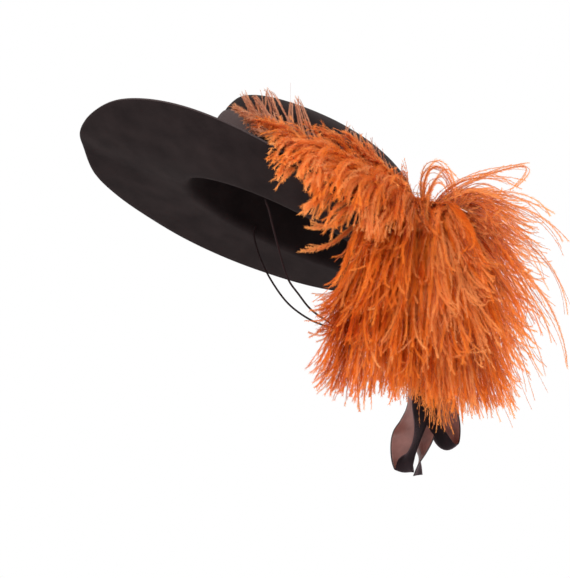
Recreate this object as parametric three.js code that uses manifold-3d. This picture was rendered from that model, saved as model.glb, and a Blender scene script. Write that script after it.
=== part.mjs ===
// A tilt hat of brown felt with ostrich plumes, held as it is worn. Millimetres, +Z up, the wearer faces -Y and the
// wearer's left is +X. The origin is the centre of the head opening.
import * as THREE from "three";
import { mergeVertices } from "three/addons/utils/BufferGeometryUtils.js";
import Module from "manifold-3d";

const wasm = await Module();
wasm.setup();

// How the hat sits on the head, in degrees: the front is tipped up and the left side is higher than the right.
const FRONT_UP = 25;
const LEFT_UP = 12;

// Walls and the gap that neighbours keep.
const FELT = 2;
const BAND_CLOTH = 1.2;
const RIBBON_CLOTH = 1.2;
const RIBBON_WIDTH = 23;
const GAP = 0.3;
// A neighbour is trimmed this far off a faceted wall, so that the gap stays open between their facets.
const ROOM = 0.4;
// How many facets each wall has round it and from one edge to the other.
const GRID = { crown: [36, 10], brim: [56, 3], hatband: [36, 6] };

// The crown in level sections, from the head opening up. Front, back and side are measured from the origin.
const CROWN_SECTIONS = [
  { up: -1, front: 102, back: 104, side: 81 },
  { up: 20, front: 101.5, back: 108, side: 81.5 },
  { up: 40, front: 101, back: 112, side: 81 },
  { up: 60, front: 100, back: 116, side: 80 },
  { up: 78, front: 99, back: 114, side: 77 },
  { up: 93, front: 96, back: 102, side: 69 },
  { up: 104, front: 89, back: 84, side: 57 },
  { up: 112, front: 71, back: 61, side: 42 },
  { up: 117, front: 41, back: 33, side: 24 },
  { up: 118.5, front: 0, back: 0, side: 0 },
];

// The brim's outline is an oval. Its rim stands this much above the head opening, every 15 degrees from the front
// towards the wearer's left and round the back.
const BRIM = { halfLength: 180, halfWidth: 158, centreBack: -40 };
const BRIM_RISE = [
  3, 12.5, 24.5, 31, 34, 33.5, 31, 28, 25, 21.5, 18, 14, 9, 3, -3, -8, -12, -15, -17.5, -18.5, -17.5, -16, -12, -1,
];
// The felt leaves the crown almost level and bends up or down towards the rim.
const BRIM_BEND = 1.25;

// The hatband is a wide ribbon in soft level folds, from just above the brim.
const BAND = { bottom: 3, top: 80, folds: 3, foldDepth: 1.2 };

// The elastic is as thick as a stout thread. Its route hangs from the left of the opening, goes round the nape and
// comes up to the right of the opening.
const ELASTIC = { diameter: 2, sides: 8, steps: 44 };
const ELASTIC_ROUTE = [
  { left: 72.5, back: -10, up: 31 },
  { left: 74, back: -12.2, up: 23 },
  { left: 74.3, back: -9.4, up: 15.2 },
  { left: 74.3, back: -6, up: 1.1 },
  { left: 74, back: -1.2, up: -17.7 },
  { left: 73, back: 3.5, up: -35.4 },
  { left: 71, back: 10, up: -54.2 },
  { left: 67, back: 20, up: -68.2 },
  { left: 60, back: 31, up: -82 },
  { left: 47, back: 49, up: -95 },
  { left: 26, back: 65, up: -103 },
  { left: 0, back: 71, up: -106 },
  { left: -26, back: 65, up: -105 },
  { left: -47, back: 49, up: -101 },
  { left: -61, back: 30, up: -93 },
  { left: -69, back: 10, up: -78 },
  { left: -73, back: -7, up: -55 },
  { left: -74, back: -19, up: -31 },
  { left: -74.1, back: -25.5, up: -6 },
  { left: -75.6, back: -23.4, up: 2.3 },
];

// Each plume has a quill and fans of locks of barbs. A fan's locks leave the quill between two places along it, from 0
// at its tip to 1 at the knot, and end evenly between a first and a last tip. Lift is how far a lock arches above its
// start, hang is how far it falls straight down to its tip.
const LOCK_STEPS = 5;
const QUILL = { thickness: 3, steps: 8 };
// The side plume's quill lies along the hatband: angle is counted from the front by the wearer's left, stand is the
// distance from the crown.
const SIDE_QUILL = [
  { angle: 38, height: 74, stand: 8 },
  { angle: 62, height: 66, stand: 6 },
  { angle: 88, height: 56, stand: 5 },
  { angle: 112, height: 50, stand: 5 },
  { angle: 136, height: 55, stand: 5 },
  { angle: 156, height: 62, stand: 6 },
  { angle: 176, height: 66, stand: 8 },
];
const PLUMES = {
  side_plume: {
    lock: { width: 17, thickness: 9 },
    fans: [
      { from: [0.02, 0.12], first: [32, -48, 119], last: [38, 16, 125], count: 4, lift: 6, hang: -12 },
      { from: [0.1, 0.45], first: [149, -8, 60], last: [150, 30, 20], count: 4, lift: 20, hang: 6 },
      { from: [0.35, 0.5], first: [150, 22, -24], last: [148, 38, -2], count: 2, lift: 24, hang: 16 },
      { from: [0.25, 0.8], first: [54, 44, 108], last: [36, 124, 52], count: 4, lift: 6, hang: 2 },
    ],
  },
  near_plume: {
    quill: [
      { left: 104, back: 78, up: 34 },
      { left: 82, back: 100, up: 40 },
      { left: 46, back: 126, up: 32 },
      { left: 2, back: 142, up: 11 },
    ],
    lock: { width: 32, thickness: 26 },
    fans: [
      { from: [0.02, 0.2], first: [124, 38, -92], last: [122, 44, -146], count: 2, lift: 8, hang: 50 },
      { from: [0.07, 0.53], first: [126, 60, -164], last: [106, 120, -162], count: 4, lift: 10, hang: 90 },
      { from: [0.15, 0.43], first: [118, 76, -112], last: [104, 112, -124], count: 2, lift: 14, hang: 60 },
      { from: [0.25, 0.63], first: [96, 74, -160], last: [82, 112, -160], count: 2, lift: 4, hang: 90 },
    ],
  },
  back_plume_left: {
    quill: [
      { left: 42, back: 206, up: 24 },
      { left: 35, back: 184, up: 40 },
      { left: 18, back: 164, up: 36 },
      { left: -4, back: 145, up: 11 },
    ],
    lock: { width: 36, thickness: 30 },
    fans: [
      { from: [0.05, 0.65], first: [64, 226, -176], last: [70, 144, -172], count: 4, lift: 8, hang: 100 },
      { from: [0, 0.3], first: [52, 272, -66], last: [64, 252, -156], count: 3, lift: 12, hang: 60 },
      { from: [0.1, 0.35], first: [28, 262, 20], last: [42, 274, -20], count: 2, lift: 14, hang: 6 },
      { from: [0.2, 0.6], first: [12, 248, -160], last: [30, 178, -176], count: 3, lift: 4, hang: 100 },
      { from: [0.5, 0.55], first: [72, 186, -84], last: [70, 152, -110], count: 2, lift: 12, hang: 60 },
    ],
  },
  back_plume_right: {
    quill: [
      { left: -40, back: 204, up: 34 },
      { left: -36, back: 180, up: 50 },
      { left: -29, back: 162, up: 42 },
      { left: -14, back: 144, up: 12 },
    ],
    lock: { width: 35, thickness: 28 },
    fans: [
      { from: [0.1, 0.35], first: [-22, 246, 56], last: [-40, 272, 8], count: 2, lift: 12, hang: -2 },
      { from: [0, 0.3], first: [-54, 274, -50], last: [-64, 250, -150], count: 3, lift: 12, hang: 60 },
      { from: [0.06, 0.7], first: [-54, 226, -172], last: [-72, 154, -164], count: 4, lift: 8, hang: 100 },
      { from: [0.2, 0.6], first: [-6, 246, -150], last: [-24, 176, -172], count: 3, lift: 4, hang: 100 },
      { from: [0.46, 0.55], first: [-82, 196, -84], last: [-84, 150, -100], count: 2, lift: 12, hang: 60 },
    ],
  },
};

// The knot binds the quills at the back of the hatband: its centre is in the hat's own frame.
const KNOT = { left: 6, back: 126.8, up: 66, halfWidth: 11, halfDepth: 8, halfHeight: 9 };

// The ribbons hang from the knot. Turn is how far the ribbon's width is turned from back-and-forth about its run.
// A ribbon is gathered to half its width in the knot, and is flat this far below it.
const GATHERS = { top: 3, length: 40 };
const RIBBONS = {
  ribbon_loop_left: [
    { left: -2, back: 143, up: 3, turn: 0 },
    { left: 10, back: 147, up: -40, turn: 0 },
    { left: 22, back: 148, up: -90, turn: 0 },
    { left: 28, back: 145, up: -140, turn: 10 },
    { left: 30, back: 141, up: -175, turn: 40 },
    { left: 30, back: 137, up: -205, turn: 64 },
    { left: 25, back: 130, up: -231, turn: 40 },
    { left: 17, back: 124.5, up: -243, turn: 12 },
    { left: 9, back: 123, up: -232, turn: 0 },
    { left: 5, back: 125, up: -212, turn: 0 },
    { left: -2, back: 131, up: -188, turn: 4 },
    { left: -13, back: 139, up: -140, turn: 6 },
    { left: -18, back: 147, up: -90, turn: 0 },
    { left: -18, back: 147, up: -40, turn: 0 },
    { left: -15, back: 143, up: 3, turn: 0 },
  ],
  ribbon_loop_right: [
    { left: -5.2, back: 143, up: 3, turn: 0 },
    { left: 3, back: 148, up: -40, turn: 0 },
    { left: 14, back: 151, up: -90, turn: 0 },
    { left: 20, back: 151, up: -140, turn: 4 },
    { left: 22, back: 151, up: -178, turn: 12 },
    { left: 23, back: 155, up: -200, turn: 20 },
    { left: 21, back: 163, up: -218, turn: 16 },
    { left: 14, back: 168, up: -224, turn: 6 },
    { left: 6, back: 171, up: -214, turn: 10 },
    { left: 1, back: 170, up: -196, turn: 16 },
    { left: -2, back: 165, up: -172, turn: 12 },
    { left: -5, back: 156, up: -140, turn: 4 },
    { left: -11, back: 150, up: -90, turn: 0 },
    { left: -12, back: 148, up: -40, turn: 0 },
    { left: -11.8, back: 143, up: 3, turn: 0 },
  ],
  ribbon_tail: [
    { left: -8.5, back: 143, up: 3, turn: 0 },
    { left: -4, back: 148, up: -40, turn: 0 },
    { left: 4, back: 150, up: -90, turn: 0 },
    { left: 8, back: 148, up: -140, turn: 4 },
    { left: 13, back: 146, up: -178, turn: 8 },
    { left: 18, back: 145, up: -204, turn: 30 },
    { left: 18, back: 142, up: -226, turn: 80 },
    { left: 17, back: 141.5, up: -248, turn: 100 },
  ],
};

function radians(degrees) {
  return THREE.MathUtils.degToRad(degrees);
}

const column = (rows, name) => rows.map((row) => row[name]);
const vectorOf = (row) => new THREE.Vector3(row.left, row.back, row.up);

// A smooth curve through evenly spaced values. Place counts the values from 0, and a closed curve runs round.
function smooth(values, place, closed = false) {
  const last = values.length - 1;
  const first = closed ? Math.floor(place) : Math.min(Math.floor(place), last - 1);
  const part = place - first;
  const value = (i) => {
    if (closed) return values[(i + values.length) % values.length];
    if (i < 0) return 2 * values[0] - values[1];
    if (i > last) return 2 * values[last] - values[last - 1];
    return values[i];
  };
  const [a, b, c, d] = [first - 1, first, first + 1, first + 2].map(value);
  return b + 0.5 * part * (c - a + part * (2 * a - 5 * b + 4 * c - d + part * (3 * (b - c) + d - a)));
}

// The direction that a face looks in. A face is a function of two places: around runs from 0 at the front by the
// wearer's left to 1, along runs from 0 to 1 across it.
function faceNormal(face, around, along) {
  const step = 1e-3;
  const inside = Math.min(along, 1 - step);
  const across = face(around + step, inside).sub(face(around - step, inside));
  const ahead = face(around, Math.min(along + step, 1)).sub(face(around, Math.max(along - step, 0)));
  return across.cross(ahead).normalize();
}

// The crown's outer face, from the opening to the top.
function crownFace(around, along) {
  const angle = around * 2 * Math.PI;
  const place = along * (CROWN_SECTIONS.length - 1);
  const reach = (name) => smooth(column(CROWN_SECTIONS, name), place);
  const forward = Math.cos(angle);
  return new THREE.Vector3(
    reach("side") * Math.sin(angle),
    -reach(forward > 0 ? "front" : "back") * forward,
    reach("up"),
  );
}

// Where along the crown's face a height is reached.
function alongAtHeight(height) {
  const heights = column(CROWN_SECTIONS, "up");
  const above = heights.findIndex((up) => up > height);
  const part = (height - heights[above - 1]) / (heights[above] - heights[above - 1]);
  return (above - 1 + part) / (heights.length - 1);
}

// A point that stands off the crown's wall.
function besideCrown(angle, height, stand) {
  const place = [angle / 360, alongAtHeight(height)];
  return crownFace(...place).addScaledVector(faceNormal(crownFace, ...place), stand);
}

// The brim's underside, from the crown to the rim.
function brimFace(around, along) {
  const angle = around * 2 * Math.PI;
  const base = crownFace(around, alongAtHeight(FELT / 2)).setZ(0);
  const inner = base.clone().multiplyScalar(1 + GAP / base.length());
  const rim = new THREE.Vector3(
    BRIM.halfWidth * Math.sin(angle),
    BRIM.centreBack - BRIM.halfLength * Math.cos(angle),
    0,
  );
  const rise = smooth(BRIM_RISE, (around - Math.floor(around)) * BRIM_RISE.length, true);
  const point = inner.lerp(rim, along);
  return point.setZ(rise * along ** BRIM_BEND - FELT / 2);
}

// The hatband's outer face, with its soft folds.
function bandFace(around, along) {
  const height = THREE.MathUtils.lerp(BAND.bottom, BAND.top, along);
  const fold = BAND.foldDepth * Math.sin(Math.PI * BAND.folds * along) ** 2;
  return besideCrown(around * 360, height, GAP + BAND_CLOTH + fold);
}

// A wall of even thickness behind a face that runs round. Its last row is a rim, or is one point at the top. A skin
// thickens it on both faces.
function wall(face, thickness, around, along, closedTop = false, skin = 0) {
  const positions = [];
  for (const back of [-skin, thickness + skin])
    for (let row = 0; row <= along; row++)
      for (let col = 0; col < around; col++) {
        const place = [col / around, row / along];
        const point = face(...place).addScaledVector(faceNormal(face, ...place), -back);
        positions.push(point.x, point.y, point.z);
      }
  const corner = (layer, row, col) => {
    const start = (layer * (along + 1) + row) * around;
    return closedTop && row === along ? start : start + (col % around);
  };
  const faces = [];
  const quad = (a, b, c, d) => {
    faces.push(a, b, c);
    if (c !== d) faces.push(a, c, d);
  };
  for (let col = 0; col < around; col++) {
    for (let row = 0; row < along; row++) {
      quad(corner(0, row, col), corner(0, row, col + 1), corner(0, row + 1, col + 1), corner(0, row + 1, col));
      quad(corner(1, row, col + 1), corner(1, row, col), corner(1, row + 1, col), corner(1, row + 1, col + 1));
    }
    quad(corner(0, 0, col), corner(1, 0, col), corner(1, 0, col + 1), corner(0, 0, col + 1));
    if (!closedTop)
      quad(corner(0, along, col), corner(0, along, col + 1), corner(1, along, col + 1), corner(1, along, col));
  }
  return meshOf(positions, faces);
}

// A body lofted through rings of points, closed flat at both ends. A strip's front and back are split along the same
// diagonal, so that its wall stays even where it twists.
function loft(rings, strip = false) {
  const sides = rings[0].length;
  const positions = rings.flat().flatMap((point) => point.toArray());
  const faces = [];
  for (let start = 0; start < (rings.length - 1) * sides; start += sides)
    for (let side = 0; side < sides; side++) {
      const a = start + side;
      const b = start + ((side + 1) % sides);
      if (strip && side >= sides / 2) faces.push(a, b, a + sides, b, b + sides, a + sides);
      else faces.push(a, b, b + sides, a, b + sides, a + sides);
    }
  const end = (rings.length - 1) * sides;
  for (let side = 1; side < sides - 1; side++) {
    faces.push(0, side + 1, side);
    faces.push(end, end + side, end + side + 1);
  }
  return meshOf(positions, faces);
}

// A flat spindle along a curve: the form of a lock of barbs, or of a quill.
function spindle(curve, steps, halfWidth, halfThickness) {
  const frames = curve.computeFrenetFrames(steps, false);
  const rings = [];
  for (let step = 0; step <= steps; step++) {
    const along = step / steps;
    const at = curve.getPointAt(along);
    const wide = frames.binormals[step].clone().multiplyScalar(halfWidth(along));
    const thick = frames.normals[step].clone().multiplyScalar(halfThickness(along));
    rings.push([at.clone().add(thick), at.clone().add(wide), at.clone().sub(thick), at.clone().sub(wide)]);
  }
  return loft(rings);
}

// A strip of ribbon along its run.
function ribbon(rows, grow = 0) {
  const run = new THREE.CatmullRomCurve3(rows.map(vectorOf));
  const steps = (rows.length - 1) * 2;
  const rings = [];
  for (let step = 0; step <= steps; step++) {
    const along = step / steps;
    const turn = radians(smooth(column(rows, "turn"), along * (rows.length - 1)));
    const ahead = run.getTangent(along);
    const gathered = Math.min(1, 0.5 + (GATHERS.top - run.getPoint(along).z) / GATHERS.length / 2);
    const wide = new THREE.Vector3(Math.sin(turn), Math.cos(turn), 0);
    wide.addScaledVector(ahead, -wide.dot(ahead)).setLength((gathered * RIBBON_WIDTH) / 2 + grow);
    const thick = ahead.clone().cross(wide).setLength(RIBBON_CLOTH / 2 + grow);
    const corner = (a, b) => run.getPoint(along).addScaledVector(wide, a).addScaledVector(thick, b);
    rings.push([corner(1, 1), corner(-1, 1), corner(-1, -1), corner(1, -1)]);
  }
  return loft(rings, true);
}

function meshOf(positions, faces) {
  const geometry = new THREE.BufferGeometry();
  geometry.setAttribute("position", new THREE.Float32BufferAttribute(positions, 3));
  geometry.setIndex(faces);
  return geometry;
}

function solidOf(geometry) {
  return new wasm.Manifold(
    new wasm.Mesh({
      numProp: 3,
      vertProperties: geometry.getAttribute("position").array,
      triVerts: new Uint32Array(geometry.index.array),
    }),
  );
}

function geometryOf(solid) {
  const { vertProperties, triVerts } = solid.getMesh();
  return meshOf(vertProperties, [...triVerts]);
}

// The largest body that is left of a solid when its neighbours' room is cut out of it.
function trimmed(solid, neighbours) {
  const rest = neighbours.reduce((left, room) => left.subtract(room), solid);
  return rest.decompose().sort((a, b) => b.volume() - a.volume())[0];
}

// The hat's own frame stands upright. These two groups tilt it as it is worn.
const tilted = new THREE.Group();
tilted.rotation.x = radians(-FRONT_UP);
const rolled = new THREE.Group();
rolled.rotation.y = radians(-LEFT_UP);
tilted.add(rolled);
tilted.updateMatrixWorld(true);

function elasticShape() {
  const section = new THREE.Shape();
  for (let side = 0; side < ELASTIC.sides; side++) {
    const angle = (side / ELASTIC.sides) * 2 * Math.PI;
    const corner = [Math.cos(angle), Math.sin(angle)].map((v) => (v * ELASTIC.diameter) / 2);
    if (side === 0) section.moveTo(...corner);
    else section.lineTo(...corner);
  }
  const extrudePath = new THREE.CatmullRomCurve3(ELASTIC_ROUTE.map(vectorOf));
  return new THREE.ExtrudeGeometry(section, { steps: ELASTIC.steps, extrudePath, bevelEnabled: false });
}

function knotShape(grow = 0) {
  const shape = new THREE.SphereGeometry(1, 14, 9);
  shape.deleteAttribute("uv");
  shape.deleteAttribute("normal");
  const merged = mergeVertices(shape);
  merged.scale(KNOT.halfWidth + grow, KNOT.halfDepth + grow, KNOT.halfHeight + grow);
  return merged.translate(KNOT.left, KNOT.back, KNOT.up).applyMatrix4(rolled.matrixWorld);
}

// One lock: it leaves its quill, arches over and falls to its tip.
function lockShape(root, tip, fan, size, grow) {
  const over = root.clone().lerp(tip, 0.35).setZ(root.z + fan.lift);
  const fall = tip.clone().lerp(root, 0.12).setZ(tip.z + fan.hang);
  const swell = (along) => Math.sin(Math.PI * (0.06 + 0.77 * along ** 0.7));
  return spindle(
    new THREE.CubicBezierCurve3(root, over, fall, tip),
    LOCK_STEPS,
    (along) => (size.width / 2) * swell(along) + grow,
    (along) => (size.thickness / 2) * swell(along) + grow,
  );
}

// A plume: its quill with all its locks joined to it.
function plumeSolid({ quill, lock, fans }, grow = 0) {
  const stem = new THREE.CatmullRomCurve3(quill);
  const half = () => QUILL.thickness / 2 + grow;
  let body = solidOf(spindle(stem, QUILL.steps, half, half));
  for (const fan of fans)
    for (let index = 0; index < fan.count; index++) {
      const place = index / (fan.count - 1);
      const root = stem.getPoint(THREE.MathUtils.lerp(...fan.from, place));
      const tip = new THREE.Vector3(...fan.first).lerp(new THREE.Vector3(...fan.last), place);
      body = body.add(solidOf(lockShape(root, tip, fan, lock, grow)));
    }
  return body;
}

function part(name, geometry, color, roughness) {
  geometry.computeVertexNormals();
  const mesh = new THREE.Mesh(geometry, new THREE.MeshStandardMaterial({ color, roughness, metalness: 0 }));
  mesh.name = name;
  return mesh;
}

const FELT_BROWN = 0x2a2223;
const BAND_MAUVE = 0x4b3e3e;
const VELVET_BLACK = 0x1c1216;
const PLUME_ORANGE = 0xdc783c;
const ELASTIC_MAROON = 0x2a1114;

rolled.add(
  part("crown", wall(crownFace, FELT, ...GRID.crown, true), FELT_BROWN, 0.95),
  part("brim", wall(brimFace, FELT, ...GRID.brim), FELT_BROWN, 0.95),
  part("hatband", wall(bandFace, BAND_CLOTH, ...GRID.hatband), BAND_MAUVE, 0.6),
);
const hat = new THREE.Group();
hat.add(tilted, part("head_elastic", elasticShape(), ELASTIC_MAROON, 0.9));
hat.add(part("ribbon_knot", knotShape(), VELVET_BLACK, 0.8));

// The room that the felt, the band and the knot need. A face reaches a little past its edges for it.
const past = 1.012;
const felt = [
  wall(crownFace, FELT, ...GRID.crown, true, ROOM),
  wall((around, along) => brimFace(around, along * past), FELT, ...GRID.brim, false, ROOM),
  wall((around, along) => bandFace(around, 0.5 + (along - 0.5) * past), BAND_CLOTH, ...GRID.hatband, false, ROOM),
].map((shape) => solidOf(shape.applyMatrix4(rolled.matrixWorld)));
const taken = [...felt, solidOf(knotShape(ROOM))];

for (const [name, rows] of Object.entries(RIBBONS)) {
  const solid = trimmed(solidOf(ribbon(rows)), taken);
  hat.add(part(name, geometryOf(solid), VELVET_BLACK, 0.8));
  taken.push(solidOf(ribbon(rows, ROOM)));
}

PLUMES.side_plume.quill = SIDE_QUILL.map(({ angle, height, stand }) =>
  besideCrown(angle, height, stand).applyMatrix4(rolled.matrixWorld),
);
for (const [name, plume] of Object.entries(PLUMES)) {
  const shape = { ...plume, quill: plume.quill.map((at) => (at.isVector3 ? at : vectorOf(at))) };
  const solid = trimmed(plumeSolid(shape), taken);
  hat.add(part(name, geometryOf(solid), PLUME_ORANGE, 0.9));
  taken.push(plumeSolid(shape, ROOM));
}

export default hat;
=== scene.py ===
# %% [markdown]
# A tilt hat of dark brown felt: a deep oval crown in a wide folded hatband, a broad brim tipped up in
# front, three ostrich plumes tied at the back with a fourth along the left of the crown, velvet ribbons
# that hang from the tie, and a thin elastic that hangs in a loop behind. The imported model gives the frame:
# +Z is up, the wearer faces -Y and the wearer's left is +X. Tables are in millimetres, and MM turns them to
# metres.
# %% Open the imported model
import math
from collections import namedtuple

import bmesh
import bpy
import numpy as np
from mathutils import Matrix, Vector


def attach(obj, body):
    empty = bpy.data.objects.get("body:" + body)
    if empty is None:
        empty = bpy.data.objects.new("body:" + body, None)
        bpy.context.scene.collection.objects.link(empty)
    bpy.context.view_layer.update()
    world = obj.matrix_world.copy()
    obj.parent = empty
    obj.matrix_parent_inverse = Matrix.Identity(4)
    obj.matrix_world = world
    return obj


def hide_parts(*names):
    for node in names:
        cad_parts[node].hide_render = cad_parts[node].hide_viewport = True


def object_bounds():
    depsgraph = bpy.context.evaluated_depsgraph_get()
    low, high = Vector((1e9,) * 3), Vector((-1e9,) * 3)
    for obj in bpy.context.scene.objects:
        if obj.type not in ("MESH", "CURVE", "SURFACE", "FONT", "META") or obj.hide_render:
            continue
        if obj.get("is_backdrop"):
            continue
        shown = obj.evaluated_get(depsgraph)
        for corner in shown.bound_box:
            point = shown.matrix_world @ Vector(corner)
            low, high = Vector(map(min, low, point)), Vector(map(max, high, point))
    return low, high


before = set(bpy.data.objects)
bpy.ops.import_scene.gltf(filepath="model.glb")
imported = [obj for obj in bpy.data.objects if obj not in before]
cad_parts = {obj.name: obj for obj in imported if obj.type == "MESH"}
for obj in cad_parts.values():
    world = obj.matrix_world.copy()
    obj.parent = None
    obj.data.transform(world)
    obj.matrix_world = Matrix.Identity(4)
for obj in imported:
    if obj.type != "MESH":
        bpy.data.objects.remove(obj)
cad_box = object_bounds()
MM = 0.001
print("nodes", sorted(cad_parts))


def add_object(name, data):
    """Makes an object of some data and links it to the scene."""
    made = bpy.data.objects.new(name, data)
    bpy.context.scene.collection.objects.link(made)
    return made


# %% [markdown]
# The camera looks straight at the hat's left side from 2.4 m, level with the middle of what shows. A long
# lens from that far keeps the near and the far plumes almost the same size.
# %% Camera
SENSOR = 36.0
CAMERA_AWAY = 2.4
CAMERA_BACK = 0.0066
CAMERA_UP = -0.0629
# The longer side of the picture spans this much at the hat.
PICTURE_SPAN = 0.578
camera_data = bpy.data.cameras.new("portrait_camera")
camera_data.sensor_width = SENSOR
camera_data.lens = SENSOR * CAMERA_AWAY / PICTURE_SPAN
camera = add_object("portrait_camera", camera_data)
camera.location = (CAMERA_AWAY, CAMERA_BACK, CAMERA_UP)
camera.rotation_euler = (math.radians(90), 0, math.radians(90))
bpy.context.scene.camera = camera
print("lens", round(camera_data.lens, 1), "mm")

# %% [markdown]
# Finishes are small node graphs. A Value wraps one socket, and Python's own arithmetic on it adds the Math
# nodes, so a finish reads like the formula that it is.
# %% Shader maths
class Value:
    """A number that varies over a surface: one socket of a finish."""

    def __init__(self, finish, socket):
        self.finish = finish
        self.socket = socket

    def maths(self, operation, *values):
        node = self.finish.tree.nodes.new("ShaderNodeMath")
        node.operation = operation
        self.finish.fill(node, dict(enumerate(values)))
        return Value(self.finish, node.outputs[0])

    def __add__(self, other):
        return self.maths("ADD", self, other)

    __radd__ = __add__

    def __sub__(self, other):
        return self.maths("SUBTRACT", self, other)

    def __rsub__(self, other):
        return self.maths("SUBTRACT", other, self)

    def __mul__(self, other):
        return self.maths("MULTIPLY", self, other)

    __rmul__ = __mul__

    def wave(self):
        return self.maths("SINE", self)

    def size(self):
        return self.maths("ABSOLUTE", self)

    def clamped(self):
        return self.maths("MAXIMUM", self.maths("MINIMUM", self, 1.0), 0.0)


# %% [markdown]
# Every other node comes from Finish.node, which sets the node's settings first and then fills its sockets
# with numbers or links.
# %% Finishes
class Finish:
    """A material, with its Principled shader and the nodes that feed it."""

    def __init__(self, name, **constants):
        self.material = bpy.data.materials.new(name)
        self.material.use_nodes = True
        self.tree = self.material.node_tree
        self.shader = self.tree.nodes["Principled BSDF"]
        self.fill(self.shader, constants)

    def fill(self, node, sockets):
        for key, value in sockets.items():
            socket = node.inputs[key.replace("_", " ") if isinstance(key, str) else key]
            if isinstance(value, Value):
                self.tree.links.new(value.socket, socket)
            else:
                socket.default_value = value

    def node(self, kind, settings=None, sockets=None, output=0):
        node = self.tree.nodes.new(kind)
        for key, value in (settings or {}).items():
            if key == "stops":
                self.set_stops(node.color_ramp, value)
            else:
                setattr(node, key, value)
        self.fill(node, sockets or {})
        return Value(self, node.outputs[output])

    def set_stops(self, ramp, stops):
        while len(ramp.elements) < len(stops):
            ramp.elements.new(0.5)
        for element, (place, colour) in zip(ramp.elements, stops):
            element.position = place
            element.color = (*colour, 1)

    def object_place(self):
        return self.node("ShaderNodeTexCoord", output="Object")

    def noise(self, scale, detail=3.0, roughness=0.5):
        sockets = {"Vector": self.object_place(), "Scale": scale, "Detail": detail, "Roughness": roughness}
        return self.node("ShaderNodeTexNoise", {}, sockets, "Fac")

    def map_places(self, uv_map):
        """The two places, across and along, that a UV map gives."""
        place = self.node("ShaderNodeUVMap", {"uv_map": uv_map})
        across = self.node("ShaderNodeSeparateXYZ", {}, {"Vector": place}, "X")
        return across, Value(self, across.socket.node.outputs["Y"])

    def raise_surface(self, height, distance, strength=1.0):
        bump = self.node("ShaderNodeBump", {}, {"Height": height, "Distance": distance, "Strength": strength})
        self.fill(self.shader, {"Normal": bump})

    def paint(self, mask, stops):
        """Colours the surface with a ramp through the stops, by a mask that varies over it."""
        ramp = self.node("ShaderNodeValToRGB", {"stops": stops}, {"Fac": mask}, "Color")
        self.fill(self.shader, {"Base Color": ramp})


# %% [markdown]
# The elastic, the quills and the ribbons all run through a few points. A centripetal Catmull-Rom curve
# passes through every point and never loops back between two that lie close together.
# %% Curves through points
def curve_point(points, place):
    """A point on the curve through points. Place runs from 0 to 1, and each span takes an equal share."""
    last = len(points) - 1
    first = min(int(place * last), last - 1)
    share = place * last - first
    b, c = points[first], points[first + 1]
    a = points[first - 1] if first > 0 else 2 * b - c
    d = points[first + 2] if first + 2 <= last else 2 * c - b
    gaps = [max((q - p).length, 1e-9) ** 0.5 for p, q in ((a, b), (b, c), (c, d))]
    leave = (b - a) / gaps[0] - (c - a) / (gaps[0] + gaps[1]) + (c - b) / gaps[1]
    arrive = (c - b) / gaps[1] - (d - b) / (gaps[1] + gaps[2]) + (d - c) / gaps[2]
    leave *= gaps[1]
    arrive *= gaps[1]
    lift = -3 * b + 3 * c - 2 * leave - arrive
    turn = 2 * b - 2 * c + leave + arrive
    return b + share * (leave + share * (lift + share * turn))


def curve_points(points, count):
    return [curve_point(points, step / (count - 1)) for step in range(count)]


def length_of(points):
    return sum((q - p).length for p, q in zip(points, points[1:]))


def vectors(rows, scale=1):
    return [Vector(row) * scale for row in rows]


# %% [markdown]
# Every finished piece is put into the scene in the same way. The elastic and the quills are round lines:
# curves with a round bevel.
# %% Pieces and round lines
def put(name, data, node_names, slot, *finishes):
    """Adds a finished piece, which rides on the hat and stands for the CAD nodes that it is made after."""
    for finish in finishes:
        data.materials.append(finish.material)
    piece = add_object(name, data)
    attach(piece, "root")
    if node_names:
        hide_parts(*node_names)
    return piece


def round_line(name, points, radius, roundness, thin_end=1.0):
    """A curve with a round section, which is thin_end of its full thickness where it starts."""
    data = bpy.data.curves.new(name, "CURVE")
    data.dimensions = "3D"
    data.bevel_depth = radius
    data.bevel_resolution = roundness
    data.use_fill_caps = True
    spline = data.splines.new("POLY")
    spline.points.add(len(points) - 1)
    for index, (spot, place) in enumerate(zip(spline.points, points)):
        spot.co = (*place, 1)
        spot.radius = thin_end + (1 - thin_end) * index / (len(points) - 1)
    return data


# %% [markdown]
# The elastic is a thin round cord with a woven cover. Its ends are sewn inside the crown. It hangs down on
# the left, goes round behind and comes up on the right.
# %% Elastic
elastic_finish = Finish("woven_elastic", Roughness=0.85, Specular_IOR_Level=0.1, Sheen_Weight=0.05)
elastic_weave = elastic_finish.node(
    "ShaderNodeTexWave",
    {"wave_type": "BANDS", "bands_direction": "DIAGONAL"},
    {"Vector": elastic_finish.object_place(), "Scale": 900.0, "Distortion": 1.5},
    "Fac",
)
elastic_finish.paint(elastic_weave, [(0, (0.008, 0.0022, 0.0025)), (1, (0.026, 0.007, 0.008))])
elastic_finish.raise_surface(elastic_weave, 0.0003)

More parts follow.
